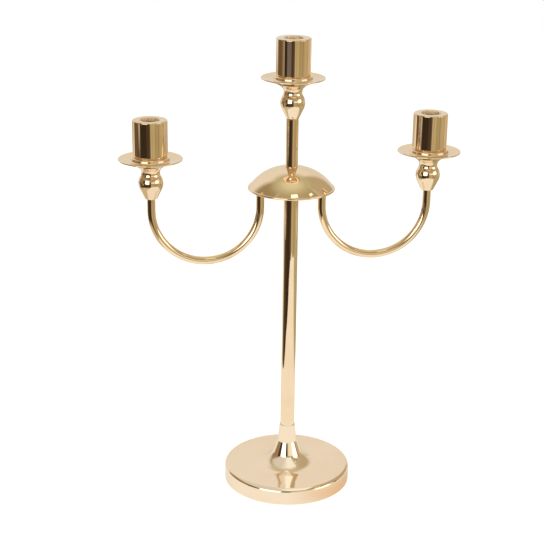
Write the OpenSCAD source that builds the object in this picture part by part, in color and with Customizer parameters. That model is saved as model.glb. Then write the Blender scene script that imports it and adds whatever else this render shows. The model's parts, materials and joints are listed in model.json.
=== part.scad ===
// Tabletop candelabra: a weighted foot, a stem, two U-shaped arms under a dome, and three candle cups.
// One tie rod clamps the foot, the stem, the arm bracket, the dome, the upper tube and the centre knob.
// The origin is the centre of the underside, +Z is up, and the arms lie along X.

/* [Heights] */
// Height of the centre candle cup's seat above the table
centre_seat_z = 513.5; // [500:0.5:530]
// Height of the side candle cups' seats above the table
side_seat_z = 422.5; // [415:0.5:440]
// Height of the flat on top of the dome
dome_top_z = 405.6; // [404:0.1:408]

/* [Foot] */
// Diameter of the foot
base_d = 156.2; // [150:0.1:170]
// Height of the foot's flat top
base_h = 21; // [19:0.1:22]
// Radius of the foot's rounded upper edge
base_edge_r = 5; // [4:0.1:7]
// Wall thickness of the foot's shell
base_wall = 1.4; // [1:0.1:1.8]
// Height of the collar's upper end
collar_top_z = 73; // [72:0.5:76]
// Height of the collar's lower end, where the sweep begins
sweep_top_z = 50.5; // [49:0.5:52]
// Radius of the collar's lower end
sweep_top_r = 11.8; // [11.4:0.1:12.2]
// Slope of the sweep's upper part, in degrees from upright
sweep_slope = 22; // [18:1:26]
// Radius of the wide curve that takes the sweep down into the foot's top
sweep_curve_r = 24; // [20:1:25]
// Diameter of the ballast disc
ballast_d = 148; // [140:1:149]

/* [Stem and upper tube] */
// Outer diameter of the stem
stem_d = 17.5; // [17:0.1:17.6]
// Outer diameter of the upper tube
upper_tube_d = 14.4; // [14:0.1:15]
// Wall thickness of both tubes
tube_wall = 1; // [0.8:0.1:1.2]
// Diameter of the tie rod and of every stud
rod_d = 6; // [6:0.1:6]

/* [Arms] */
// Distance from the stem's axis to the side holders
arm_reach = 165.5; // [160:0.5:180]
// Distance from the stem's axis to the arms' inner ends
arm_root = 37; // [36:0.1:37.5]
// Height of the centre of the arms' bends
bend_z = 357.5; // [352:0.5:360]
// Outer diameter of the arm tube
arm_d = 9.6; // [9:0.1:10]
// Wall thickness of the arm tube
arm_wall = 1; // [0.8:0.1:1.1]

/* [Dome] */
// Radius of the dome's crown
crown_r = 68; // [66:1:70]
// Radius from the axis at which the crown turns into the shoulder
crown_edge_r = 22; // [20:1:24]
// Radius of the dome's shoulder
shoulder_r = 55; // [54:1:56]
// Slope of the shoulder at the rim, in degrees
shoulder_end = 56.4; // [56:0.1:57]
// Wall thickness of the dome
dome_wall = 1.2; // [1:0.1:1.3]
// Radius of the rolled bead around the dome's rim
bead_r = 1.5; // [1.3:0.1:1.6]

/* [Candle holders] */
// Diameter of the candle hole
candle_hole_d = 22.8; // [22:0.1:24]
// Outer diameter of a candle cup
cup_d = 40.6; // [39:0.1:42]
// Height of a candle cup
cup_h = 43.2; // [40:0.1:45]
// Height of the ledge that the candle stands on, above the cup's underside
candle_ledge_z = 12.5; // [11:0.5:14]
// Radius of the drip pan's flat seat
pan_seat_r = 21; // [20.5:0.5:22]
// Depth of the drip pan's trough below its seat
pan_drop = 4; // [3.5:0.1:4.5]
// Thickness of the drip pan
pan_t = 1.6; // [1.4:0.1:1.8]
// Radius of the knob's flange
flange_r = 22; // [21:0.1:23]
// Radius of the knob's waist
waist_r = 10.8; // [10.4:0.1:11.2]
// Radius of the knob's bulb outline
bulb_r = 15.5; // [15:0.1:16]
// Slope of the knob's tapered end, in degrees
taper = 25.5; // [24:0.1:27]
// Length from the pan's seat to the knob's lower end
knob_end = 50.3; // [50:0.1:51]

/* [Hidden] */

// Colours
polished_gold = [0.90, 0.77, 0.56];
champagne_gold = [0.92, 0.82, 0.68];
plain_steel = [0.70, 0.70, 0.71];
dark_iron = [0.27, 0.26, 0.25];
dark_felt = [0.10, 0.10, 0.10];

// Clearances and fastener sizes
rod_r = rod_d / 2;
thread_gap = 0.04;
bearing_gap = 0.08;
slip_gap = 0.05;
nut_flats = 10;
nut_corner_r = nut_flats / 2 / cos(30);
washer_t = 1;

// Foot
base_r = base_d / 2;
base_rim_z = 0.3;
base_rim_round = 0.6;
felt_t = 2;
felt_r = base_r - base_wall - 1.2;
web_bottom_z = 9.6;
weight_top_z = base_h - base_wall;
weight_chamfer = 4;
nut_pocket_r = 10.5;
nut_pocket_z = 12;
boss_r = 15;
ring_w = 10;
base_washer_r = 9;
base_washer_t = 1.4;
base_nut_h = 5;
rod_bottom_z = 4;

// Collar and sweep: a tapered collar, a steeper cone, then a wide curve that ends level with the foot's top
stem_r = stem_d / 2;
collar_bore_r = stem_r + 0.1;
collar_r = collar_bore_r + 0.75;
collar_bore_end_z = 54;
sweep_run = (sweep_top_z - base_h - sweep_curve_r * (1 - sin(sweep_slope))) / cos(sweep_slope);
sweep_top = [sweep_top_r, sweep_top_z];
sweep_out = [cos(sweep_slope), sin(sweep_slope)];
sweep_end = sweep_top + sweep_run * [sin(sweep_slope), -cos(sweep_slope)];
sweep_c = sweep_end + sweep_curve_r * sweep_out;

// Stem stack
stem_bottom_z = 60;
bush_flange_t = 4;
bush_plug_l = 10;
bracket_z = 379.5;
upper_flange_t = 3;
stem_top_z = bracket_z - upper_flange_t;
sleeve_r = 6.5;
bracket_t = 3;
bracket_top_z = bracket_z + bracket_t;
bracket_end_r = 7;
bracket_hub_r = 9;

// Arms
arm_r = arm_d / 2;
bend_r = (arm_reach - arm_root) / 2;
bend_x = (arm_reach + arm_root) / 2;
holder_end_z = side_seat_z - knob_end;
stud_plug_r = arm_r - arm_wall - slip_gap;
stud_plug_l = 10;
inner_stud_l = 9;
outer_stud_l = 13;
arm_washer_r = 6;
arm_nut_h = 3.6;

// Dome: a flat seat, a crown arc, a tighter shoulder arc and a rolled bead
dome_flat_r = 8;
dome_hole_r = rod_r + 0.5;
crown_start = asin(dome_flat_r / crown_r);
crown_end = asin(crown_edge_r / crown_r);
crown_c = [0, dome_top_z - crown_r * cos(crown_start)];
shoulder_c = crown_c + (crown_r - shoulder_r) * [sin(crown_end), cos(crown_end)];
bead_past_edge = 0.9;
dome_mid_r = shoulder_r - dome_wall / 2;
bead_c = shoulder_c + dome_mid_r * [sin(shoulder_end), cos(shoulder_end)]
    + bead_past_edge * [cos(shoulder_end), -sin(shoulder_end)];
bead_lead = 1;
shell_end = shoulder_end - bead_lead;
bead_joint = asin(dome_wall / 2 / bead_r);
bead_start = 180 - shoulder_end - bead_joint;
bead_turn = 360 - 2 * bead_joint;

// Upper tube
upper_tube_r = upper_tube_d / 2;
upper_tube_top_z = centre_seat_z - knob_end;
upper_bush_l = 8;
rod_top_z = upper_tube_top_z + outer_stud_l;

// Candle cup, measured up from the pan's seat
cup_r = cup_d / 2;
candle_hole_r = candle_hole_d / 2;
cup_rim_round = 1.2;
cup_lip_round = 1;
cup_foot_round = 0.5;
cup_floor_t = 4;
screw_recess_r = 6.5;
screw_hole_r = 2.75;
screw_r = 2.45;
screw_head_r = 4.8;
screw_head_h = 3.2;
screw_l = 22;
hex_socket_r = 1.7;
hex_socket_depth = 1.8;

// Drip pan: flat seat, S-shaped step down, then a trough that rises to the rim
pan_step_w = 4;
pan_step_turn = 2 * atan(pan_drop / pan_step_w);
pan_step_r = pan_step_w / (2 * sin(pan_step_turn));
pan_trough_r = pan_seat_r + pan_step_w;
pan_sweep_r = 35.4;
pan_sweep_end = 18.8;
pan_sweep_c = [pan_trough_r, pan_sweep_r - pan_drop];
pan_mid_r = pan_sweep_r + pan_t / 2;
pan_rim_c = pan_sweep_c + pan_mid_r * [sin(pan_sweep_end), -cos(pan_sweep_end)];
pan_hub_t = pan_drop + pan_t;

// Knob, measured down from the pan's seat
flange_round = 1;
waist_z = -18.9;
waist_arc_r = 6.8;
trumpet_r = 23.7;
bulb_c = [-1.05, -31.7];
knob_tip_round = 1;
waist_c = [waist_r + waist_arc_r, waist_z];
trumpet_c = waist_c + (trumpet_r - waist_arc_r) * [cos(45), -sin(45)];
trumpet_start = 180 - acos((trumpet_c[0] - flange_r) / trumpet_r);
bulb_dx = waist_r - bulb_c[0];
bulb_dz = waist_z - bulb_c[1];
throat_r = (pow(bulb_dx, 2) + pow(bulb_dz, 2) - pow(bulb_r, 2)) / (2 * (bulb_r - bulb_dx));
throat_c = [waist_r + throat_r, waist_z];
bulb_start = atan2(bulb_dz, throat_c[0] - bulb_c[0]);
taper_start = bulb_c + bulb_r * [cos(taper), -sin(taper)];
tip_z = knob_tip_round - knob_end;
tip_x = taper_start[0] - (knob_tip_round + (taper_start[1] - tip_z) * sin(taper)) / cos(taper);
screw_thread_depth = 20;
stud_thread_depth = 14.5;

// Points along an arc about c, from one angle to another
function arc(c, r, from, to, steps = 12) =
    [for (i = [0:steps]) let (a = from + (to - from) * i / steps) c + r * [cos(a), sin(a)]];

// A closed outline of [radius, height] points, turned about Z
module spun(outline) {
    rotate_extrude($fn = 96) polygon(outline);
}

// A round sleeve, washer or tube standing on z
module ring(outer_r, inner_r, z, h) {
    translate([0, 0, z]) difference() {
        cylinder(r = outer_r, h = h, $fn = 72);
        translate([0, 0, -1]) cylinder(r = inner_r, h = h + 2, $fn = 72);
    }
}

// A hexagon nut standing on z
module hex_nut(z, h) {
    translate([0, 0, z]) difference() {
        cylinder(r = nut_corner_r, h = h, $fn = 6);
        translate([0, 0, -1]) cylinder(r = rod_r + thread_gap, h = h + 2, $fn = 48);
    }
}

module felt_pad() {
    color(dark_felt) cylinder(r = felt_r, h = felt_t, $fn = 96);
}

// Cast ballast: a disc with a foot ring, a centre boss and a pocket for the nut
module base_weight() {
    r = ballast_d / 2;
    color(dark_iron) spun([
        [rod_r + 0.3, weight_top_z], [r - weight_chamfer, weight_top_z], [r, weight_top_z - weight_chamfer],
        [r, felt_t], [r - ring_w, felt_t], [r - ring_w - 2, web_bottom_z], [boss_r + 2, web_bottom_z],
        [boss_r, felt_t], [nut_pocket_r, felt_t], [nut_pocket_r, nut_pocket_z], [rod_r + 0.3, nut_pocket_z]
    ]);
}

module base_washer() {
    color(plain_steel) ring(base_washer_r, rod_r + 0.3, nut_pocket_z - base_washer_t, base_washer_t);
}

module base_nut() {
    color(plain_steel) hex_nut(nut_pocket_z - base_washer_t - base_nut_h, base_nut_h);
}

// Foot shell: rounded edge, flat top and a sweep that rises into the collar
module base_shell() {
    edge_c = [base_r - base_edge_r, base_h - base_edge_r];
    color(champagne_gold) spun(concat(
        [[base_r - base_wall, base_rim_z]],
        arc([base_r - base_rim_round, base_rim_z + base_rim_round], base_rim_round, -90, 0, 4),
        arc(edge_c, base_edge_r, 0, 90),
        arc(sweep_c, sweep_curve_r, 270, 180 + sweep_slope, 20),
        [sweep_top, [collar_r, collar_top_z], [collar_bore_r, collar_top_z]],
        [[collar_bore_r, collar_bore_end_z], sweep_top - base_wall * sweep_out],
        arc(sweep_c, sweep_curve_r + base_wall, 180 + sweep_slope, 270, 20),
        arc(edge_c, base_edge_r - base_wall, 90, 0)
    ));
}

module foot_sleeve() {
    color(plain_steel) ring(sleeve_r, rod_r + slip_gap, weight_top_z,
        stem_bottom_z - bush_flange_t - weight_top_z);
}

// A bush with a flange and a plug that fits a tube; up = 1 points the plug up
module tube_bush(flange_z, flange_r, flange_t, plug_r, up) {
    ring(flange_r, rod_r + slip_gap, flange_z, flange_t);
    ring(plug_r, rod_r + slip_gap, up == 1 ? flange_z + flange_t : flange_z - bush_plug_l, bush_plug_l);
}

module stem_bush_lower() {
    color(plain_steel) tube_bush(stem_bottom_z - bush_flange_t, stem_r - 0.1, bush_flange_t,
        stem_r - tube_wall - slip_gap, 1);
}

module stem_tube() {
    color(polished_gold) ring(stem_r, stem_r - tube_wall, stem_bottom_z, stem_top_z - stem_bottom_z);
}

module stem_bush_upper() {
    color(plain_steel) tube_bush(stem_top_z, stem_r, upper_flange_t, stem_r - tube_wall - slip_gap, 0);
}

module tie_rod() {
    color(plain_steel) translate([0, 0, rod_bottom_z])
        cylinder(r = rod_r, h = rod_top_z - rod_bottom_z, $fn = 48);
}

// Flat bar with round ends that both arms are bolted to; it turns on the tie rod
module arm_bracket() {
    color(plain_steel) translate([0, 0, bracket_z]) difference() {
        linear_extrude(bracket_t) union() {
            square([2 * arm_root, 2 * bracket_end_r], center = true);
            circle(r = bracket_hub_r, $fn = 72);
            for (side = [-1, 1]) translate([side * arm_root, 0]) circle(r = bracket_end_r, $fn = 72);
        }
        translate([0, 0, -1]) cylinder(r = rod_r + bearing_gap, h = bracket_t + 2, $fn = 48);
        for (side = [-1, 1]) translate([side * arm_root, 0, -1])
            cylinder(r = rod_r + slip_gap, h = bracket_t + 2, $fn = 48);
    }
}

module arm_washers() {
    color(plain_steel) for (side = [-1, 1]) translate([side * arm_root, 0, 0])
        ring(arm_washer_r, rod_r + slip_gap, bracket_top_z, washer_t);
}

module arm_nuts() {
    color(plain_steel) for (side = [-1, 1]) translate([side * arm_root, 0, 0])
        hex_nut(bracket_top_z + washer_t, arm_nut_h);
}

module dome_sleeve() {
    color(plain_steel) ring(sleeve_r, rod_r + bearing_gap, bracket_top_z,
        dome_top_z - dome_wall - bracket_top_z);
}

// Spun cap with a flat seat for the upper tube and a rolled bead around its rim
module dome() {
    color(polished_gold) spun(concat(
        [[dome_hole_r, dome_top_z]],
        arc(crown_c, crown_r, 90 - crown_start, 90 - crown_end, 8),
        arc(shoulder_c, shoulder_r, 90 - crown_end, 90 - shell_end, 20),
        arc(bead_c, bead_r, bead_start, bead_start - bead_turn, 30),
        arc(shoulder_c, shoulder_r - dome_wall, 90 - shell_end, 90 - crown_end, 20),
        arc(crown_c, crown_r - dome_wall, 90 - crown_end, 90 - crown_start, 8),
        [[dome_hole_r, dome_top_z - dome_wall]]
    ));
}

// Bent tube on the +X side: inner leg, half-round bend and outer leg
module arm() {
    translate([bend_x, 0, bend_z]) rotate([-90, 0, 0]) rotate_extrude(angle = 180, $fn = 144)
        translate([bend_r, 0]) difference() {
            circle(r = arm_r, $fn = 40);
            circle(r = arm_r - arm_wall, $fn = 40);
        }
    translate([arm_root, 0, 0]) ring(arm_r, arm_r - arm_wall, bend_z, bracket_z - bend_z);
    translate([arm_reach, 0, 0]) ring(arm_r, arm_r - arm_wall, bend_z, holder_end_z - bend_z);
}

// Stud brazed into a tube's end at z, standing up out of it
module stud(x, z, thread_l) {
    translate([x, 0, z - stud_plug_l]) cylinder(r = stud_plug_r, h = stud_plug_l, $fn = 48);
    translate([x, 0, z - 1]) cylinder(r = rod_r, h = thread_l + 1, $fn = 48);
}

module arm_studs() {
    stud(arm_root, bracket_z, inner_stud_l);
    stud(arm_reach, holder_end_z, outer_stud_l);
}

module right_arm() {
    color(polished_gold) arm();
}

module left_arm() {
    color(polished_gold) mirror([1, 0, 0]) arm();
}

module right_arm_studs() {
    color(plain_steel) arm_studs();
}

module left_arm_studs() {
    color(plain_steel) mirror([1, 0, 0]) arm_studs();
}

module upper_tube() {
    color(polished_gold) ring(upper_tube_r, upper_tube_r - tube_wall, dome_top_z,
        upper_tube_top_z - dome_top_z);
}

module upper_tube_bushes() {
    bush_r = upper_tube_r - tube_wall - slip_gap;
    color(plain_steel) for (z = [dome_top_z, upper_tube_top_z - upper_bush_l])
        ring(bush_r, rod_r + slip_gap, z, upper_bush_l);
}

// Turned knob: flange, trumpet, waist, bulb and tapered end, tapped at both ends
module knob() {
    color(polished_gold) spun(concat(
        [[screw_r + thread_gap, -pan_hub_t]],
        arc([flange_r - flange_round, -pan_hub_t - flange_round], flange_round, 90, 0, 6),
        arc(trumpet_c, trumpet_r, trumpet_start, 135, 10),
        arc(waist_c, waist_arc_r, 135, 180, 10),
        arc(throat_c, throat_r, 180, 180 + bulb_start, 10),
        arc(bulb_c, bulb_r, bulb_start, -taper, 16),
        arc([tip_x, tip_z], knob_tip_round, -taper, -90, 6),
        [[rod_r + thread_gap, -knob_end], [rod_r + thread_gap, stud_thread_depth - knob_end]],
        [[0, stud_thread_depth - knob_end], [0, -screw_thread_depth]],
        [[screw_r + thread_gap, -screw_thread_depth]]
    ));
}

// Drip pan with a raised flat seat and a shallow wax trough
module drip_pan() {
    color(polished_gold) spun(concat(
        [[screw_hole_r, -pan_hub_t], [screw_hole_r, 0]],
        arc([pan_seat_r, -pan_step_r], pan_step_r, 90, 90 - pan_step_turn, 8),
        arc([pan_trough_r, pan_step_r - pan_drop], pan_step_r, 270 - pan_step_turn, 270, 8),
        arc(pan_sweep_c, pan_sweep_r, 270, 270 + pan_sweep_end, 8),
        arc(pan_rim_c, pan_t / 2, 90 + pan_sweep_end, pan_sweep_end - 90, 8),
        arc(pan_sweep_c, pan_sweep_r + pan_t, 270 + pan_sweep_end, 270, 8)
    ));
}

// Candle cup: rounded rim, candle hole down to a ledge, and a recess for the screw head
module candle_cup() {
    color(polished_gold) spun(concat(
        [[screw_hole_r, 0]],
        arc([cup_r - cup_foot_round, cup_foot_round], cup_foot_round, -90, 0, 4),
        arc([cup_r - cup_rim_round, cup_h - cup_rim_round], cup_rim_round, 0, 90, 6),
        arc([candle_hole_r + cup_lip_round, cup_h - cup_lip_round], cup_lip_round, 90, 180, 6),
        [[candle_hole_r, candle_ledge_z], [screw_recess_r, candle_ledge_z]],
        [[screw_recess_r, cup_floor_t], [screw_hole_r, cup_floor_t]]
    ));
}

// Socket-head screw that draws the cup, the pan and the knob together
module cup_screw() {
    color(plain_steel) difference() {
        union() {
            translate([0, 0, cup_floor_t]) cylinder(r = screw_head_r, h = screw_head_h, $fn = 48);
            translate([0, 0, cup_floor_t - screw_l]) cylinder(r = screw_r, h = screw_l + 1, $fn = 48);
        }
        translate([0, 0, cup_floor_t + screw_head_h - hex_socket_depth])
            cylinder(r = hex_socket_r, h = hex_socket_depth + 1, $fn = 6);
    }
}

// Places for the three candle holders
module at_centre() {
    translate([0, 0, centre_seat_z]) children();
}

module at_left() {
    translate([-arm_reach, 0, side_seat_z]) children();
}

module at_right() {
    translate([arm_reach, 0, side_seat_z]) children();
}

felt_pad();
base_weight();
base_washer();
base_nut();
base_shell();
foot_sleeve();
stem_bush_lower();
stem_tube();
stem_bush_upper();
tie_rod();
arm_bracket();
arm_washers();
arm_nuts();
dome_sleeve();
dome();
left_arm();
right_arm();
left_arm_studs();
right_arm_studs();
upper_tube();
upper_tube_bushes();
at_centre() knob();  // centre_knob
at_centre() drip_pan();  // centre_pan
at_centre() candle_cup();  // centre_cup
at_centre() cup_screw();  // centre_screw
at_left() knob();  // left_knob
at_left() drip_pan();  // left_pan
at_left() candle_cup();  // left_cup
at_left() cup_screw();  // left_screw
at_right() knob();  // right_knob
at_right() drip_pan();  // right_pan
at_right() candle_cup();  // right_cup
at_right() cup_screw();  // right_screw
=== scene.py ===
import json
import math

import bmesh
import bpy
from mathutils import Matrix, Vector


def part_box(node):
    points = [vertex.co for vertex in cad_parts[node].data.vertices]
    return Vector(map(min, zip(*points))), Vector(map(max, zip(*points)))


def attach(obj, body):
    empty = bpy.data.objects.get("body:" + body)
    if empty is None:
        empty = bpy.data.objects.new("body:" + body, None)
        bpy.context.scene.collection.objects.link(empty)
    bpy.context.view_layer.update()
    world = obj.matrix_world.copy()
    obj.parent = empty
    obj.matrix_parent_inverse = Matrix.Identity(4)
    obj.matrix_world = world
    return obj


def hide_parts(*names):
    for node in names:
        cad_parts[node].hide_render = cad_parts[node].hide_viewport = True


# Tabletop candelabra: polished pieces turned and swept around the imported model.
# Lengths are in mm and angles in degrees until a mesh is made, which is in metres.

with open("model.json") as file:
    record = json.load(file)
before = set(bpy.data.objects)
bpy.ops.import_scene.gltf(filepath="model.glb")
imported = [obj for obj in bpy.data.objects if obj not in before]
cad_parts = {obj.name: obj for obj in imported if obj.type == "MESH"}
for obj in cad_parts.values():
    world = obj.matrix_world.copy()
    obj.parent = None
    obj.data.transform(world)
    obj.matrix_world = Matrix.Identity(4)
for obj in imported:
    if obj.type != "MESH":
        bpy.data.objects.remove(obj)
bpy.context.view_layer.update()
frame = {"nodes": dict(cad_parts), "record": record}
MM = 0.001


# ---------------------------------------------------------------- sizes from the frame

def corners(node):
    """Lowest and highest corner of a CAD node, in mm."""
    low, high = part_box(node)
    return low / MM, high / MM


foot_low, foot_high = corners("base_shell")
felt_low, felt_high = corners("felt_pad")
stem_low, stem_high = corners("stem_tube")
upper_low, upper_high = corners("upper_tube")
dome_top = corners("dome")[1].z
arm_low, arm_high = corners("right_arm")
cup_low, cup_high = corners("centre_cup")
knob_low, knob_high = corners("centre_knob")

# Each candle holder: the body that it rides on, the x of its axis and the height of its seat
HOLDERS = {
    name: (body, sum(c.x for c in corners(name + "_cup")) / 2, corners(name + "_cup")[0].z)
    for name, body in (("centre", "stand"), ("left", "arm_section"), ("right", "arm_section"))
}

# ---------------------------------------------------------------- shape values

TUBE_WALL = 1.0
TUBE_END_ROUND = 0.2

FOOT_H = 21.0
FOOT_EDGE_R = 5.0
FOOT_WALL = 1.4
FOOT_RIM_ROUND = 0.6
FELT_ROUND = 0.5
SWEEP_TOP = (11.8, 50.5)
SWEEP_SLOPE = 22.0
SWEEP_CURVE_R = 24.0
COLLAR_WALL = 0.75
COLLAR_BORE_GAP = 0.1
COLLAR_BORE_L = 19.0
COLLAR_LIP = 0.3
CREASE_R = 2.0

CROWN_R = 68.0
CROWN_EDGE_R = 22.0
DOME_SEAT_R = 8.0
DOME_HOLE_R = 3.5
DOME_WALL = 1.2
SHOULDER_R = 55.0
SHOULDER_END = 56.4
BEAD_R = 1.5
BEAD_PAST_EDGE = 0.9
BEAD_LEAD = 1.0

CANDLE_HOLE_R = 11.4
CANDLE_LEDGE = 12.5
CUP_RIM_ROUND = 1.2
CUP_LIP_ROUND = 1.0
CUP_FOOT_ROUND = 0.5
CUP_FLOOR = 4.0
SCREW_RECESS_R = 6.5
SCREW_HOLE_R = 2.75

PAN_SEAT_R = 21.0
PAN_STEP_W = 4.0
PAN_DROP = 4.0
PAN_T = 1.6
PAN_SWEEP_R = 35.4
PAN_SWEEP_END = 18.8

FLANGE_ROUND = 1.0
WAIST_R = 10.8
WAIST_Z = -18.9
WAIST_ARC_R = 6.8
TRUMPET_R = 23.7
TRUMPET_ANGLE = 45
BULB_R = 15.5
BULB_C = (-1.05, -31.7)
TAPER = 25.5
KNOB_TIP_ROUND = 1.0
STUD_HOLE_R = 3.04
STUD_HOLE_DEPTH = 14.5


# ---------------------------------------------------------------- outlines

def sine(angle):
    return math.sin(math.radians(angle))


def cosine(angle):
    return math.cos(math.radians(angle))


def arc(centre, radius, start, end, steps):
    """Points along an arc about centre, from one angle to another."""
    angles = [start + (end - start) * i / steps for i in range(steps + 1)]
    return [(centre[0] + radius * cosine(a), centre[1] + radius * sine(a)) for a in angles]


def foot_outline():
    """Rounded edge, flat top and a sweep that rises into the collar."""
    foot_r = foot_high.x
    collar_bore_r = stem_high.x + COLLAR_BORE_GAP
    collar_r = collar_bore_r + COLLAR_WALL
    collar_top = foot_high.z
    rim_z = foot_low.z
    edge_c = (foot_r - FOOT_EDGE_R, FOOT_H - FOOT_EDGE_R)
    lean, rise = sine(SWEEP_SLOPE), cosine(SWEEP_SLOPE)
    run = (SWEEP_TOP[1] - FOOT_H - SWEEP_CURVE_R * (1 - lean)) / rise
    sweep_c = (SWEEP_TOP[0] + run * lean + SWEEP_CURVE_R * rise, FOOT_H + SWEEP_CURVE_R)
    taper = math.degrees(math.atan2(SWEEP_TOP[0] - collar_r, collar_top - SWEEP_TOP[1]))
    crease = CREASE_R * math.tan(math.radians((SWEEP_SLOPE - taper) / 2))
    crease_c = (
        SWEEP_TOP[0] - crease * sine(taper) + CREASE_R * cosine(taper),
        SWEEP_TOP[1] + crease * cosine(taper) + CREASE_R * sine(taper),
    )
    inner_top = (SWEEP_TOP[0] - FOOT_WALL * rise, SWEEP_TOP[1] - FOOT_WALL * lean)
    lip_c = (collar_r - COLLAR_LIP, collar_top - COLLAR_LIP)
    return (
        [(foot_r - FOOT_WALL, rim_z)]
        + arc((foot_r - FOOT_RIM_ROUND, rim_z + FOOT_RIM_ROUND), FOOT_RIM_ROUND, -90, 0, 6)
        + arc(edge_c, FOOT_EDGE_R, 0, 90, 24)
        + arc(sweep_c, SWEEP_CURVE_R, 270, 180 + SWEEP_SLOPE, 40)
        + arc(crease_c, CREASE_R, 180 + SWEEP_SLOPE, 180 + taper, 8)
        + arc(lip_c, COLLAR_LIP, 0, 90, 6)
        + [(collar_bore_r, collar_top), (collar_bore_r, collar_top - COLLAR_BORE_L), inner_top]
        + arc(sweep_c, SWEEP_CURVE_R + FOOT_WALL, 180 + SWEEP_SLOPE, 270, 20)
        + arc(edge_c, FOOT_EDGE_R - FOOT_WALL, 90, 0, 12)
    )


def tube_outline(radius, low, high):
    """A straight tube with softened ends."""
    inner = radius - TUBE_WALL
    ease = TUBE_END_ROUND
    return (
        arc((radius - ease, low + ease), ease, -90, 0, 4)
        + arc((radius - ease, high - ease), ease, 0, 90, 4)
        + [(inner, high), (inner, low)]
    )


def dome_outline():
    """Flat seat, crown arc, tighter shoulder arc and a rolled bead around the rim."""
    crown_start = math.degrees(math.asin(DOME_SEAT_R / CROWN_R))
    crown_end = math.degrees(math.asin(CROWN_EDGE_R / CROWN_R))
    crown_c = (0, dome_top - CROWN_R * cosine(crown_start))
    shoulder_c = (
        (CROWN_R - SHOULDER_R) * sine(crown_end),
        crown_c[1] + (CROWN_R - SHOULDER_R) * cosine(crown_end),
    )
    middle_r = SHOULDER_R - DOME_WALL / 2
    bead_c = (
        shoulder_c[0] + middle_r * sine(SHOULDER_END) + BEAD_PAST_EDGE * cosine(SHOULDER_END),
        shoulder_c[1] + middle_r * cosine(SHOULDER_END) - BEAD_PAST_EDGE * sine(SHOULDER_END),
    )
    shell_end = SHOULDER_END - BEAD_LEAD
    joint = math.degrees(math.asin(DOME_WALL / 2 / BEAD_R))
    bead_start = 180 - SHOULDER_END - joint
    return (
        [(DOME_HOLE_R, dome_top)]
        + arc(crown_c, CROWN_R, 90 - crown_start, 90 - crown_end, 16)
        + arc(shoulder_c, SHOULDER_R, 90 - crown_end, 90 - shell_end, 40)[1:]
        + arc(bead_c, BEAD_R, bead_start, bead_start - 360 + 2 * joint, 36)
        + arc(shoulder_c, SHOULDER_R - DOME_WALL, 90 - shell_end, 90 - crown_end, 24)
        + arc(crown_c, CROWN_R - DOME_WALL, 90 - crown_end, 90 - crown_start, 8)[1:]
        + [(DOME_HOLE_R, dome_top - DOME_WALL)]
    )


def cup_outline(seat):
    """Plain cylinder with a rounded rim, the candle hole and a recess for the screw."""
    cup_r = cup_high.x
    top = seat + cup_high.z - cup_low.z
    return (
        [(SCREW_HOLE_R, seat)]
        + arc((cup_r - CUP_FOOT_ROUND, seat + CUP_FOOT_ROUND), CUP_FOOT_ROUND, -90, 0, 6)
        + arc((cup_r - CUP_RIM_ROUND, top - CUP_RIM_ROUND), CUP_RIM_ROUND, 0, 90, 12)
        + arc((CANDLE_HOLE_R + CUP_LIP_ROUND, top - CUP_LIP_ROUND), CUP_LIP_ROUND, 90, 180, 12)
        + [(CANDLE_HOLE_R, seat + CANDLE_LEDGE), (SCREW_RECESS_R, seat + CANDLE_LEDGE)]
        + [(SCREW_RECESS_R, seat + CUP_FLOOR), (SCREW_HOLE_R, seat + CUP_FLOOR)]
    )


def pan_outline(seat):
    """Raised flat seat, S-shaped step, wax trough and a rim that rises outwards."""
    step_turn = 2 * math.degrees(math.atan(PAN_DROP / PAN_STEP_W))
    step_r = PAN_STEP_W / (2 * sine(step_turn))
    trough_r = PAN_SEAT_R + PAN_STEP_W
    sweep_c = (trough_r, seat + PAN_SWEEP_R - PAN_DROP)
    middle_r = PAN_SWEEP_R + PAN_T / 2
    rim_c = (
        sweep_c[0] + middle_r * sine(PAN_SWEEP_END),
        sweep_c[1] - middle_r * cosine(PAN_SWEEP_END),
    )
    underside = seat - PAN_DROP - PAN_T
    return (
        [(SCREW_HOLE_R, underside), (SCREW_HOLE_R, seat)]
        + arc((PAN_SEAT_R, seat - step_r), step_r, 90, 90 - step_turn, 12)
        + arc((trough_r, seat + step_r - PAN_DROP), step_r, 270 - step_turn, 270, 12)[1:]
        + arc(sweep_c, PAN_SWEEP_R, 270, 270 + PAN_SWEEP_END, 16)[1:]
        + arc(rim_c, PAN_T / 2, 90 + PAN_SWEEP_END, PAN_SWEEP_END - 90, 14)[1:]
        + arc(sweep_c, PAN_SWEEP_R + PAN_T, 270 + PAN_SWEEP_END, 270, 16)[1:]
    )


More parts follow.
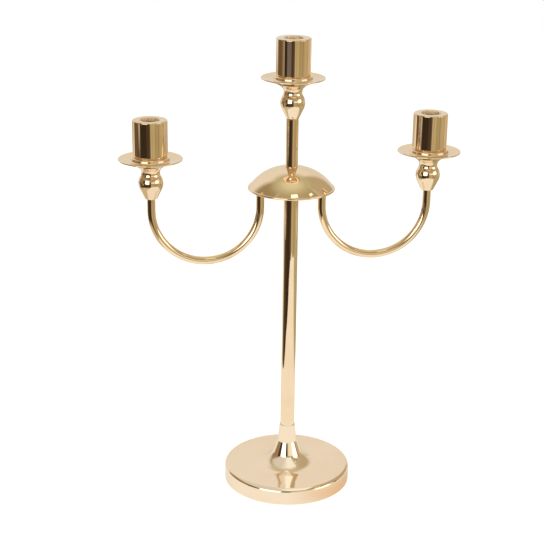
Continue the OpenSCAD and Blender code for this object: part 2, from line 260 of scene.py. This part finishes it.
def knob_outline(seat):
    """Flange, trumpet, waist, bulb and tapered end."""
    flange_r = knob_high.x
    flange_top = seat - (cup_low.z - knob_high.z)
    tip = seat - (cup_low.z - knob_low.z)
    waist_c = (WAIST_R + WAIST_ARC_R, WAIST_Z)
    trumpet_c = (
        waist_c[0] + (TRUMPET_R - WAIST_ARC_R) * cosine(TRUMPET_ANGLE),
        waist_c[1] - (TRUMPET_R - WAIST_ARC_R) * sine(TRUMPET_ANGLE),
    )
    trumpet_start = 180 - math.degrees(math.acos((trumpet_c[0] - flange_r) / TRUMPET_R))
    bulb_dx = WAIST_R - BULB_C[0]
    bulb_dz = WAIST_Z - BULB_C[1]
    throat_r = (bulb_dx ** 2 + bulb_dz ** 2 - BULB_R ** 2) / (2 * (BULB_R - bulb_dx))
    throat_c = (WAIST_R + throat_r, WAIST_Z)
    bulb_start = math.degrees(math.atan2(bulb_dz, throat_c[0] - BULB_C[0]))
    taper_start = (BULB_C[0] + BULB_R * cosine(TAPER), BULB_C[1] - BULB_R * sine(TAPER))
    tip_z = tip - seat + KNOB_TIP_ROUND
    tip_run = KNOB_TIP_ROUND + (taper_start[1] - tip_z) * sine(TAPER)
    tip_x = taper_start[0] - tip_run / cosine(TAPER)
    turned = (
        arc(trumpet_c, TRUMPET_R, trumpet_start, 180 - TRUMPET_ANGLE, 20)
        + arc(waist_c, WAIST_ARC_R, 180 - TRUMPET_ANGLE, 180, 16)[1:]
        + arc(throat_c, throat_r, 180, 180 + bulb_start, 20)[1:]
        + arc(BULB_C, BULB_R, bulb_start, -TAPER, 32)[1:]
        + arc((tip_x, tip_z), KNOB_TIP_ROUND, -TAPER, -90, 8)
    )
    return (
        [(0, flange_top)]
        + arc((flange_r - FLANGE_ROUND, flange_top - FLANGE_ROUND), FLANGE_ROUND, 90, 0, 8)
        + [(r, z + seat) for r, z in turned]
        + [(STUD_HOLE_R, tip), (STUD_HOLE_R, tip + STUD_HOLE_DEPTH), (0, tip + STUD_HOLE_DEPTH)]
    )


# ---------------------------------------------------------------- meshes

# A corner of an outline that turns by more than this becomes a sharp edge
SHARP_TURN = 28
TURNED_SIDES = 160
FINE_SIDES = 256
# A straight run longer than LONG_RUN gets a guard point GUARD_GAP from both its ends
LONG_RUN = 1.5
GUARD_GAP = 0.15


def finish_mesh(name, mesh, edges):
    """A smooth-shaded object from a bmesh whose given edges stay sharp."""
    bmesh.ops.recalc_face_normals(mesh, faces=mesh.faces)
    for face in mesh.faces:
        face.smooth = True
    for edge in edges:
        edge.smooth = False
    data = bpy.data.meshes.new(name)
    mesh.to_mesh(data)
    mesh.free()
    piece = bpy.data.objects.new(name, data)
    bpy.context.scene.collection.objects.link(piece)
    return piece


def bends_sharply(before, here, after):
    """Whether an outline turns by more than SHARP_TURN at a point."""
    first = Vector((here[0] - before[0], here[1] - before[1]))
    second = Vector((after[0] - here[0], after[1] - here[1]))
    return math.degrees(first.angle(second, 0)) > SHARP_TURN


def with_guards(outline):
    """Adds a point near both ends of every long straight run, so that its shading stays flat."""
    guarded = []
    for start, end in zip(outline, outline[1:] + outline[:1]):
        guarded.append(start)
        length = math.dist(start, end)
        if length > LONG_RUN:
            run = (end[0] - start[0], end[1] - start[1])
            for share in (GUARD_GAP / length, 1 - GUARD_GAP / length):
                guarded.append((start[0] + share * run[0], start[1] + share * run[1]))
    return guarded


def lathe(name, outline, x=0.0, sides=TURNED_SIDES):
    """Turns a closed outline of (radius, height) points about the upright axis at x."""
    outline = with_guards(outline)
    mesh = bmesh.new()
    rings = []
    for radius, height in outline:
        if radius == 0:
            rings.append([mesh.verts.new((x * MM, 0, height * MM))])
            continue
        rings.append([
            mesh.verts.new((
                (x + radius * cosine(360 * i / sides)) * MM,
                radius * sine(360 * i / sides) * MM,
                height * MM,
            ))
            for i in range(sides)
        ])
    for ring, following in zip(rings, rings[1:] + rings[:1]):
        if len(ring) == 1 and len(following) == 1:
            continue
        for i in range(sides):
            j = (i + 1) % sides
            loop = [ring[i % len(ring)], ring[j % len(ring)]]
            loop += [following[j % len(following)], following[i % len(following)]]
            mesh.faces.new(list(dict.fromkeys(loop)))
    sharp = []
    for k, ring in enumerate(rings):
        here = outline[k]
        following = outline[(k + 1) % len(outline)]
        if len(ring) > 1 and bends_sharply(outline[k - 1], here, following):
            sharp += [mesh.edges.get((ring[i], ring[(i + 1) % sides])) for i in range(sides)]
    return finish_mesh(name, mesh, sharp)


def swept_tube(name, path, radius, sides=64):
    """A solid round bar along a path of (x, z) points in the XZ plane."""
    mesh = bmesh.new()
    level = Vector((0, 1, 0))
    rings = []
    for k, (x, z) in enumerate(path):
        before = path[max(k - 1, 0)]
        after = path[min(k + 1, len(path) - 1)]
        along = Vector((after[0] - before[0], 0, after[1] - before[1])).normalized()
        across = along.cross(level)
        centre = Vector((x, 0, z))
        turns = [360 * i / sides for i in range(sides)]
        rings.append([
            mesh.verts.new((centre + radius * (across * cosine(a) + level * sine(a))) * MM)
            for a in turns
        ])
    for ring, following in zip(rings, rings[1:]):
        for i in range(sides):
            j = (i + 1) % sides
            mesh.faces.new((ring[i], ring[j], following[j], following[i]))
    mesh.faces.new(rings[0])
    mesh.faces.new(rings[-1])
    ends = [
        mesh.edges.get((ring[i], ring[(i + 1) % sides]))
        for ring in (rings[0], rings[-1])
        for i in range(sides)
    ]
    return finish_mesh(name, mesh, ends)


# ---------------------------------------------------------------- materials

class Graph:
    """Adds nodes to a node tree and links or sets their inputs."""

    def __init__(self, tree):
        self.tree = tree
        tree.nodes.clear()

    def add(self, kind, inputs=None, **settings):
        made = self.tree.nodes.new(kind)
        for key, value in settings.items():
            setattr(made, key, value)
        for key, value in (inputs or {}).items():
            if isinstance(value, bpy.types.NodeSocket):
                self.tree.links.new(value, made.inputs[key])
            else:
                made.inputs[key].default_value = value
        return made

    def math(self, operation, a, b=0.0):
        return self.add("ShaderNodeMath", {0: a, 1: b}, operation=operation).outputs[0]

    def ramp(self, value, low, high, to_low=0.0, to_high=1.0):
        """Eases from to_low at low to to_high at high."""
        inputs = {
            "Value": value,
            "From Min": low,
            "From Max": high,
            "To Min": to_low,
            "To Max": to_high,
        }
        made = self.add("ShaderNodeMapRange", inputs, interpolation_type="SMOOTHSTEP")
        return made.outputs["Result"]

    def mix(self, share, first, second, blend="MIX"):
        """Mixes two colours, each a socket or a tuple of red, green and blue."""
        made = self.add("ShaderNodeMix", {"Factor": share}, data_type="RGBA", blend_type=blend)
        for index, value in ((6, first), (7, second)):
            if isinstance(value, bpy.types.NodeSocket):
                self.tree.links.new(value, made.inputs[index])
            else:
                made.inputs[index].default_value = (*value, 1)
        return made.outputs[2]

    def noise(self, place, scale, detail):
        inputs = {"Vector": place, "Scale": scale, "Detail": detail}
        return self.add("ShaderNodeTexNoise", inputs).outputs["Fac"]

    def stretch(self, place, scale):
        return self.add("ShaderNodeMapping", {"Vector": place, "Scale": scale}).outputs[0]

    def bump(self, strength, distance, height):
        inputs = {"Strength": strength, "Distance": distance, "Height": height}
        return self.add("ShaderNodeBump", inputs).outputs["Normal"]

    def axes(self, place):
        return self.add("ShaderNodeSeparateXYZ", {0: place}).outputs

    def length(self, vector):
        return self.add("ShaderNodeVectorMath", {0: vector}, operation="LENGTH").outputs["Value"]

    def facing_camera(self, place):
        """Turns a place until X is the picture's right and Y points away from the camera."""
        inputs = {"Vector": place, "Angle": math.radians(CAMERA_TURN)}
        return self.add("ShaderNodeVectorRotate", inputs, rotation_type="Z_AXIS").outputs[0]

    def glow(self, colour):
        inputs = {"Color": colour, "Strength": 1.0}
        return self.add("ShaderNodeEmission", inputs).outputs[0]

    def surface(self, shader):
        self.add("ShaderNodeOutputMaterial", {"Surface": shader})

    def principled(self, inputs):
        self.surface(self.add("ShaderNodeBsdfPrincipled", inputs).outputs[0])


def new_material(name):
    """A new material, its graph and the place on the piece, in metres."""
    material = bpy.data.materials.new(name)
    material.use_nodes = True
    graph = Graph(material.node_tree)
    return material, graph, graph.add("ShaderNodeTexCoord").outputs["Object"]


# Where the haze of the foot starts and ends, in metres from its axis or above the table
CREASE_REACH = (0.026, 0.050)
CREASE_TOP = (0.031, 0.036)
FLAT_TOP = (0.0200, 0.0208)
EDGE_START = (0.070, 0.074)
CREASE_HAZE = 0.17
TOP_HAZE = 0.07
EDGE_HAZE = 0.06


def foot_haze(graph, place):
    """Extra roughness of the foot: much in the crease under its collar, little further out."""
    radius = graph.length(graph.stretch(place, (1, 1, 0)))
    level = graph.axes(place)["Z"]
    near_crease = graph.ramp(radius, *CREASE_REACH, CREASE_HAZE, 0.0)
    crease = graph.math("MULTIPLY", near_crease, graph.ramp(level, *CREASE_TOP, 1, 0))
    past_crease = graph.ramp(radius, *CREASE_REACH, 0.0, TOP_HAZE)
    top = graph.math("MULTIPLY", past_crease, graph.ramp(level, *FLAT_TOP))
    edge = graph.ramp(radius, *EDGE_START, 0.0, EDGE_HAZE)
    return graph.math("ADD", graph.math("ADD", crease, top), edge)


# What the polished metal keeps of a reflection at a grazing angle
EDGE_TINT = (0.84, 0.84, 0.80, 1)


def polished_metal(name, tint, deep_tint, haze, waviness, extra_haze=None):
    """Mirror-polished metal with faint tone drift, polishing haze, hairlines and waviness."""
    material, graph, place = new_material(name)
    drift = graph.noise(place, 22.0, 3.0)
    smudge = graph.noise(place, 60.0, 5.0)
    hairline = graph.noise(graph.stretch(place, (900, 900, 60)), 3.0, 2.0)
    swell = graph.noise(place, 70.0, 1.0)
    polish = graph.ramp(smudge, 0.5, 0.8, haze * 0.6, haze)
    rough = graph.math("ADD", polish, graph.ramp(hairline, 0.6, 0.9, 0, 0.02))
    if extra_haze:
        rough = graph.math("ADD", rough, extra_haze(graph, place))
    graph.principled({
        "Base Color": graph.mix(graph.ramp(drift, 0.35, 0.7), tint, deep_tint),
        "Roughness": rough,
        "Metallic": 1.0,
        "Specular Tint": EDGE_TINT,
        "Normal": graph.bump(waviness, 0.0002, swell),
    })
    return material


# How deep in a candle hole, in mm, the painted shade on its wall starts and is darkest
BORE_SHADE = (3.4, 5.8)


def satin_shaded_bore(name, mouth):
    """The unpolished wall of a candle hole, dulled by wax, with shade painted darker further in.
    """
    material, graph, place = new_material(name)
    lines = graph.noise(graph.stretch(place, (60, 60, 1500)), 1.0, 3.0)
    wax = graph.noise(place, 140.0, 4.0)
    colour = graph.mix(graph.ramp(wax, 0.4, 0.7), (0.97, 0.74, 0.48), (0.99, 0.84, 0.62))
    shade_top, shade_end = ((mouth - depth) * MM for depth in BORE_SHADE)
    # Painted shade: the wall turns dark brown deeper in the hole
    shaded = graph.ramp(graph.axes(place)["Z"], shade_end, shade_top, 1.0, 0.0)
    graph.principled({
        "Base Color": graph.mix(shaded, colour, (0.30, 0.14, 0.05)),
        "Roughness": graph.ramp(lines, 0.3, 0.7, 0.5, 0.65),
        "Metallic": 0.75,
        "Normal": graph.bump(0.2, 0.0001, lines),
    })
    return material


def plated_steel():
    """Zinc-plated steel with turning lines."""
    material, graph, place = new_material("plated_steel")
    lines = graph.noise(graph.stretch(place, (150, 150, 2500)), 1.0, 4.0)
    cloud = graph.noise(place, 180.0, 4.0)
    colour = graph.mix(graph.ramp(cloud, 0.3, 0.7), (0.52, 0.52, 0.50), (0.66, 0.66, 0.67))
    graph.principled({
        "Base Color": colour,
        "Roughness": graph.ramp(lines, 0.2, 0.8, 0.24, 0.42),
        "Metallic": 1.0,
        "Normal": graph.bump(0.25, 0.0001, lines),
    })
    return material


def cast_iron():
    """Rough casting under black paint."""
    material, graph, place = new_material("cast_iron")
    grain = graph.noise(place, 500.0, 6.0)
    graph.principled({
        "Base Color": graph.mix(grain, (0.02, 0.02, 0.021), (0.06, 0.058, 0.055)),
        "Roughness": graph.ramp(grain, 0.2, 0.8, 0.5, 0.75),
        "Normal": graph.bump(0.6, 0.0005, grain),
    })
    return material


def felt():
    """Pressed black felt with short matted fibres."""
    material, graph, place = new_material("felt")
    strands = {"Vector": place, "Scale": 900.0, "Detail": 8.0, "Roughness": 0.7}
    fibre = graph.add("ShaderNodeTexNoise", strands).outputs["Fac"]
    clump = graph.noise(place, 120.0, 3.0)
    height = graph.math("ADD", fibre, clump)
    colour = graph.mix(graph.ramp(height, 0.7, 1.3), (0.008, 0.008, 0.009), (0.035, 0.034, 0.036))
    graph.principled({
        "Base Color": colour,
        "Roughness": 0.95,
        "Sheen Weight": 0.4,
        "Sheen Roughness": 0.5,
        "Normal": graph.bump(0.8, 0.0006, height),
    })
    return material


GOLD = polished_metal(
    "polished_gold", (0.85, 0.66, 0.45), (0.82, 0.61, 0.40), haze=0.035, waviness=0.04
)
CHAMPAGNE = polished_metal(
    "champagne_gold",
    (0.86, 0.68, 0.50),
    (0.84, 0.65, 0.46),
    haze=0.03,
    waviness=0.02,
    extra_haze=foot_haze,
)
STEEL = plated_steel()
IRON = cast_iron()
FELT = felt()


# ---------------------------------------------------------------- pieces

def show(piece, body, material, slot, *nodes):
    """Gives a piece its material and body, and lets it stand for its CAD nodes."""
    piece.data.materials.append(material)
    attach(piece, body)
    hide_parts(*nodes)


def make_foot():
    foot = lathe("foot", foot_outline(), sides=FINE_SIDES)
    show(foot, "stand", CHAMPAGNE, "champagne_gold", "base_shell")
    felt_r = felt_high.x
    outline = (
        [(0, felt_low.z)]
        + arc((felt_r - FELT_ROUND, felt_low.z + FELT_ROUND), FELT_ROUND, -90, 0, 5)
        + [(felt_r, felt_high.z), (0, felt_high.z)]
    )
    show(lathe("felt_disc", outline), "stand", FELT, "felt", "felt_pad")


def make_stem():
    stem = lathe("stem", tube_outline(stem_high.x, stem_low.z, stem_high.z))
    show(stem, "stand", GOLD, "gold_tubes", "stem_tube")
    upper = lathe("upper_stem", tube_outline(upper_high.x, upper_low.z, upper_high.z))
    show(upper, "stand", GOLD, "gold_tubes", "upper_tube")


def make_dome():
    cap = lathe("dome_cap", dome_outline(), sides=FINE_SIDES)
    show(cap, "arm_section", GOLD, "gold_tubes", "dome")


def arm_path(side):
    """Inner leg, half-round bend and outer leg; side is 1 for the right arm, -1 for the left."""
    arm_r = arm_high.y
    root = arm_low.x + arm_r
    reach = arm_high.x - arm_r
    bend_r = (reach - root) / 2
    bend_x = (reach + root) / 2
    bend_z = arm_low.z + arm_r + bend_r
    outer_top = corners("right_knob")[0].z
    bend = arc((bend_x, bend_z), bend_r, 180, 360, 96)
    return [(side * x, z) for x, z in [(root, arm_high.z)] + bend + [(reach, outer_top)]]


def make_arms():
    for side, name in ((1, "right"), (-1, "left")):
        arm = swept_tube(name + "_bent_arm", arm_path(side), arm_high.y)
        show(arm, "arm_section", GOLD, "gold_tubes", name + "_arm")


# Room for rounding where the faces of a bore are picked, in mm
BORE_SLACK = 0.1


def dull_the_bore(cup, x, ledge, satin_and_shade):
    """Gives the wall and the ledge of the candle hole their satin material with its painted
    shade.
    """
    cup.data.materials.append(satin_and_shade)
    reach = (CANDLE_HOLE_R + BORE_SLACK) * MM
    floor = (ledge - BORE_SLACK) * MM
    for face in cup.data.polygons:
        off_axis = math.hypot(face.center.x - x * MM, face.center.y)
        if off_axis < reach and face.center.z > floor:
            face.material_index = 1


def make_holders():
    """Turns the knob, pan and cup of each holder; holders of one height share a bore material
    with painted shade.
    """
    bores = {}
    for name, (body, x, seat) in HOLDERS.items():
        for part, outline in (("knob", knob_outline), ("pan", pan_outline), ("cup", cup_outline)):
            piece = lathe(f"{name}_turned_{part}", outline(seat), x)
            show(piece, body, GOLD, "gold_castings", f"{name}_{part}")
            if part == "cup":
                if seat not in bores:
                    mouth = max(z for _r, z in outline(seat))
                    bores[seat] = satin_shaded_bore(f"satin_shaded_bore_{name}", mouth)
                dull_the_bore(piece, x, seat + CANDLE_LEDGE, bores[seat])


def dress_hidden_pieces():
    """The hardware inside keeps its CAD shape and gets its metal."""
    metals = {"plain_steel": STEEL, "cast_iron": IRON}
    for part in frame["record"]["subparts"]:
        if part["material_slot"] in metals:
            node = frame["nodes"][part["node"]]
            node.data.materials.clear()
            node.data.materials.append(metals[part["material_slot"]])


# ---------------------------------------------------------------- studio

# Where the camera stands around the object, and which way it looks
CAMERA_TURN = 10.23
CAMERA_BACK = 1526.6
CAMERA_UP = 811.0
CAMERA_HEADING = 9.42
CAMERA_DIP = 19.43
CAMERA_ROLL = 0.73
CAMERA_LENS = 88.73
CAMERA_SENSOR = 36


def make_camera():
    """The photo's viewpoint."""
    data = bpy.data.cameras.new("camera")
    data.sensor_fit = "HORIZONTAL"
    data.sensor_width = CAMERA_SENSOR
    data.lens = CAMERA_LENS
    camera = bpy.data.objects.new("camera", data)
    bpy.context.scene.collection.objects.link(camera)
    forward = Vector((
        sine(CAMERA_HEADING) * cosine(CAMERA_DIP),
        cosine(CAMERA_HEADING) * cosine(CAMERA_DIP),
        -sine(CAMERA_DIP),
    ))
    level = Vector((cosine(CAMERA_HEADING), -sine(CAMERA_HEADING), 0))
    right = Matrix.Rotation(math.radians(-CAMERA_ROLL), 3, forward) @ level
    up = right.cross(forward)
    place = Vector((-sine(CAMERA_TURN), -cosine(CAMERA_TURN), 0)) * CAMERA_BACK
    place.z = CAMERA_UP
    camera.matrix_world = Matrix((
        (right.x, up.x, -forward.x, place.x * MM),
        (right.y, up.y, -forward.y, place.y * MM),
        (right.z, up.z, -forward.z, place.z * MM),
        (0, 0, 0, 1),
    ))
    bpy.context.scene.camera = camera


# What reaches the camera over two mirrors is this much stronger in red, green and blue
SECOND_LOOK = (1.25, 1.32, 1.50)

# What the metal sees around it: name, left, right, bottom, top, blur, colour. Later rows cover
# earlier ones. Angles are in degrees, seen from the object: 0 is towards the camera, + is the
# picture's right and up.
BACKDROP = (0.98, 0.98, 0.96)
ROOM = (
    ("left_wall", -122, -50, -1, 64, 24, (0.40, 0.34, 0.21)),
    ("front_wall", -50, 92, -1, 64, 12, (0.50, 0.44, 0.30)),
    ("right_wall", 92, 150, -1, 60, 16, (0.58, 0.51, 0.36)),
    ("ceiling", -200, 200, 55, 100, 24, (0.54, 0.52, 0.33)),
    ("ceiling_centre", -200, 200, 70, 100, 28, (0.84, 0.83, 0.64)),
    ("left_shade", -122, -70, -1, 17, 8, (0.36, 0.27, 0.17)),
    ("front_shade", -72, 100, -1, 20, 6, (0.07, 0.055, 0.038)),
    ("softbox_left", -47, -10, -3, 27, 7, (3.2, 3.2, 3.1)),
    ("softbox_right", 8, 94, 3, 19, 9, (1.15, 1.1, 0.95)),
    ("softbox_right_core", 52, 84, 1, 24, 8, (2.4, 2.35, 2.2)),
    ("lamp_front", 0, 25, 53, 61, 3, (2.0, 1.95, 1.8)),
    ("lamp_right", 66, 78, 45, 50, 2, (1.8, 1.75, 1.6)),
    ("far_floor_left", -122, -76, -90, -1, 5, (0.17, 0.115, 0.06)),
    ("far_floor_streak", -76, -63, -13.0, -1, 4, (0.31, 0.245, 0.15)),
    ("far_floor_dark", -62, 8, -90, -1, 4, (0.045, 0.032, 0.02)),
    ("middle_floor_dark", -84, -50, -90, -13.5, 3, (0.06, 0.042, 0.024)),
    ("far_floor_brown", -16, 10, -90, -1, 10, (0.11, 0.08, 0.052)),
    ("far_floor_grey", -42, -14, -11.8, -6, 0.6, (0.20, 0.175, 0.18)),
    ("far_floor_right", 10, 94, -90, -1, 6, (0.51, 0.45, 0.27)),
    ("far_floor_back", 94, 140, -90, -1, 10, (0.70, 0.57, 0.39)),
    ("near_floor", -200, 200, -100, -30, 12, (0.72, 0.66, 0.52)),
)


def second_look(graph, colour, strength=SECOND_LOOK):
    """Strengthens a colour where it is seen over two mirrors or more."""
    bounces = graph.add("ShaderNodeLightPath").outputs["Glossy Depth"]
    again = graph.math("GREATER_THAN", bounces, 1.5)
    return graph.mix(again, colour, graph.mix(1.0, colour, strength, "MULTIPLY"))


def room_zone(graph, sideways, height, zone):
    """How far a direction lies inside a zone of the room, from 0 to 1."""
    _name, left, right, bottom, top, blur, _colour = zone
    half = blur / 2
    inside = graph.math(
        "MULTIPLY",
        graph.ramp(sideways, left - half, left + half),
        graph.ramp(sideways, right - half, right + half, 1.0, 0.0),
    )
    level = graph.math(
        "MULTIPLY",
        graph.ramp(height, bottom - half, bottom + half),
        graph.ramp(height, top - half, top + half, 1.0, 0.0),
    )
    return graph.math("MULTIPLY", inside, level)


# The floor of the room has darker and brighter streaks, from its edge just below level
FLOOR_EDGE = (-4.0, -1.0)
STREAKS_PER_DEGREE = 0.055
STREAK_NOISE = (0.32, 0.62)
STREAK_SHADES = (0.70, 1.2)


def floor_streaks(graph, sideways, height):
    """Strength of the room, which changes with the direction only below its floor edge."""
    inputs = {"W": sideways, "Scale": STREAKS_PER_DEGREE, "Detail": 3.0}
    lines = graph.add("ShaderNodeTexNoise", inputs, noise_dimensions="1D").outputs["Fac"]
    shade = graph.ramp(lines, *STREAK_NOISE, *STREAK_SHADES)
    below = graph.ramp(height, *FLOOR_EDGE, 1.0, 0.0)
    change = graph.math("MULTIPLY", below, graph.math("SUBTRACT", shade, 1.0))
    return graph.math("ADD", change, 1.0)


def make_world():
    """A white background for the camera, and the studio room for everything that reflects."""
    world = bpy.data.worlds.new("studio")
    world.use_nodes = True
    graph = Graph(world.node_tree)
    looking = graph.add("ShaderNodeTexCoord").outputs["Generated"]
    parts = graph.axes(graph.facing_camera(looking))
    towards = graph.math("MULTIPLY", parts["Y"], -1.0)
    to_degrees = 180 / math.pi
    sideways = graph.math("MULTIPLY", graph.math("ARCTAN2", parts["X"], towards), to_degrees)
    height = graph.math("MULTIPLY", graph.math("ARCSINE", parts["Z"]), to_degrees)
    colour = BACKDROP
    for zone in ROOM:
        colour = graph.mix(room_zone(graph, sideways, height, zone), colour, zone[-1])
    colour = second_look(graph, colour)
    streaks = floor_streaks(graph, sideways, height)
    room = graph.add("ShaderNodeBackground", {"Color": colour, "Strength": streaks})
    plain = graph.add("ShaderNodeBackground", {"Color": (1, 1, 1, 1), "Strength": 1.0})
    seen = graph.add("ShaderNodeLightPath").outputs["Is Camera Ray"]
    both = graph.add("ShaderNodeMixShader", {0: seen, 1: room.outputs[0], 2: plain.outputs[0]})
    graph.add("ShaderNodeOutputWorld", {"Surface": both.outputs[0]})
    bpy.context.scene.world = world


def flat_sheet(name, corners_mm, height):
    """A level sheet; its corners count to the picture's right and away from the camera."""
    mesh = bmesh.new()
    spin = Matrix.Rotation(math.radians(-CAMERA_TURN), 3, "Z")
    mesh.faces.new([mesh.verts.new(spin @ Vector((x, y, height)) * MM) for x, y in corners_mm])
    data = bpy.data.meshes.new(name)
    mesh.to_mesh(data)
    mesh.free()
    sheet = bpy.data.objects.new(name, data)
    bpy.context.scene.collection.objects.link(sheet)
    return sheet


def mirrored_sheet(name, corners_mm, height):
    """A sheet that only the metal sees."""
    sheet = flat_sheet(name, corners_mm, height)
    sheet.visible_camera = False
    sheet.visible_diffuse = False
    sheet.visible_shadow = False
    return sheet


FLOOR_REACH = 3000.0


def make_floor():
    """The plain pale floor; the metal mirrors the paper sheet instead."""
    r = FLOOR_REACH
    floor = flat_sheet("floor", ((-r, -r), (r, -r), (r, r), (-r, r)), 0.0)
    floor.visible_glossy = False
    material, graph, place = new_material("pale_floor")
    grain = graph.noise(place, 40.0, 4.0)
    graph.principled({
        "Base Color": graph.mix(grain, (0.30, 0.298, 0.295), (0.32, 0.318, 0.315)),
        "Roughness": 1.0,
        "Specular IOR Level": 0.0,
        "Emission Color": (1, 0.995, 0.98, 1),
        "Emission Strength": 0.85,
    })
    floor.data.materials.append(material)


# The paper that the metal mirrors: it ends close by on the left and further away in front, and
# it turns from white to tan behind on the right. Corners in mm, fades in metres.
PAPER = (
    (-2200, 900),
    (-350, 158),
    (-350, -350),
    (-216, -593),
    (-158, -743),
    (0, -860),
    (300, -860),
    (590, -660),
    (820, -380),
    (1000, 0),
    (1500, 900),
    (1500, 2500),
    (-2200, 2500),
)
PAPER_LEVEL = 0.1
PAPER_WHITE = (1.08, 1.11, 1.09)
PAPER_TAN = (0.54, 0.50, 0.34)
PAPER_TAN_SLANT = 0.8
PAPER_TAN_FADE = (0.37, 0.53)
PAPER_FAR = (0.66, 0.59, 0.46)
PAPER_FAR_FADE = (0.5, 1.6)
# A painted shadow of the foot on the paper, close to the foot on its right
PAPER_SHADED = (0.94, 0.78, 0.60)
PAPER_SHADED_REACH = (0.08, 0.14)
PAPER_SHADED_SIDE = (0.01, 0.07)


def make_paper():
    """The lit paper as the metal sees it; the camera and the lamps don't."""
    paper = mirrored_sheet("mirrored_paper", PAPER, PAPER_LEVEL)
    material, graph, place = new_material("mirrored_paper")
    parts = graph.axes(graph.facing_camera(place))
    slant = graph.math("MULTIPLY", parts["Y"], PAPER_TAN_SLANT)
    back_right = graph.math("ADD", parts["X"], slant)
    colour = graph.mix(graph.ramp(back_right, *PAPER_TAN_FADE), PAPER_WHITE, PAPER_TAN)
    colour = graph.mix(graph.ramp(parts["Y"], *PAPER_FAR_FADE), colour, PAPER_FAR)
    # Painted shadow: the paper turns tan-orange close to the foot on its right
    near_foot = graph.ramp(graph.length(place), *PAPER_SHADED_REACH, 1.0, 0.0)
    on_right = graph.ramp(parts["X"], *PAPER_SHADED_SIDE)
    colour = graph.mix(graph.math("MULTIPLY", near_foot, on_right), colour, PAPER_SHADED)
    graph.surface(graph.glow(second_look(graph, colour)))
    paper.data.materials.append(material)


# A bright card low in front of the stem, dimmer on the left, which only the metal below it sees
CARD = ((-190, -190), (110, -190), (62, -15), (-24, -15), (-190, 40))
CARD_LEVEL = 122.0
CARD_FADE = (-0.035, 0.015)
CARD_LEFT = (0.80, 0.82, 0.78)
CARD_RIGHT = (1.10, 1.20, 1.24)
CARD_AGAIN = (1.35, 1.60, 2.00)


def make_card():
    """Lights the crease under the collar, as a card held close to the foot does."""
    card = mirrored_sheet("bounce_card", CARD, CARD_LEVEL)
    material, graph, place = new_material("bounce_card")
    rightwards = graph.axes(graph.facing_camera(place))["X"]
    colour = graph.mix(graph.ramp(rightwards, *CARD_FADE), CARD_LEFT, CARD_RIGHT)
    glow = graph.glow(second_look(graph, colour, CARD_AGAIN))
    clear = graph.add("ShaderNodeBsdfTransparent").outputs[0]
    from_below = graph.add("ShaderNodeNewGeometry").outputs["Backfacing"]
    both = graph.add("ShaderNodeMixShader", {0: from_below, 1: clear, 2: glow})
    graph.surface(both.outputs[0])
    card.data.materials.append(material)


LAMP_SIZE = 1.6
LAMP_POWER = 22
LAMP_PLACE = (0.2, -0.3, 1.8)


def make_lights():
    """One broad overhead light that the metal doesn't mirror."""
    data = bpy.data.lights.new("overhead", "AREA")
    data.shape = "DISK"
    data.size = LAMP_SIZE
    data.energy = LAMP_POWER
    lamp = bpy.data.objects.new("overhead", data)
    lamp.location = LAMP_PLACE
    lamp.rotation_euler = (-lamp.location).to_track_quat("-Z", "Y").to_euler()
    lamp.visible_glossy = False
    lamp.visible_camera = False
    bpy.context.scene.collection.objects.link(lamp)


make_foot()
make_stem()
make_dome()
make_arms()
make_holders()
dress_hidden_pieces()
make_camera()
make_world()
make_floor()
make_paper()
make_card()
make_lights()
bpy.context.scene.view_settings.view_transform = "Standard"
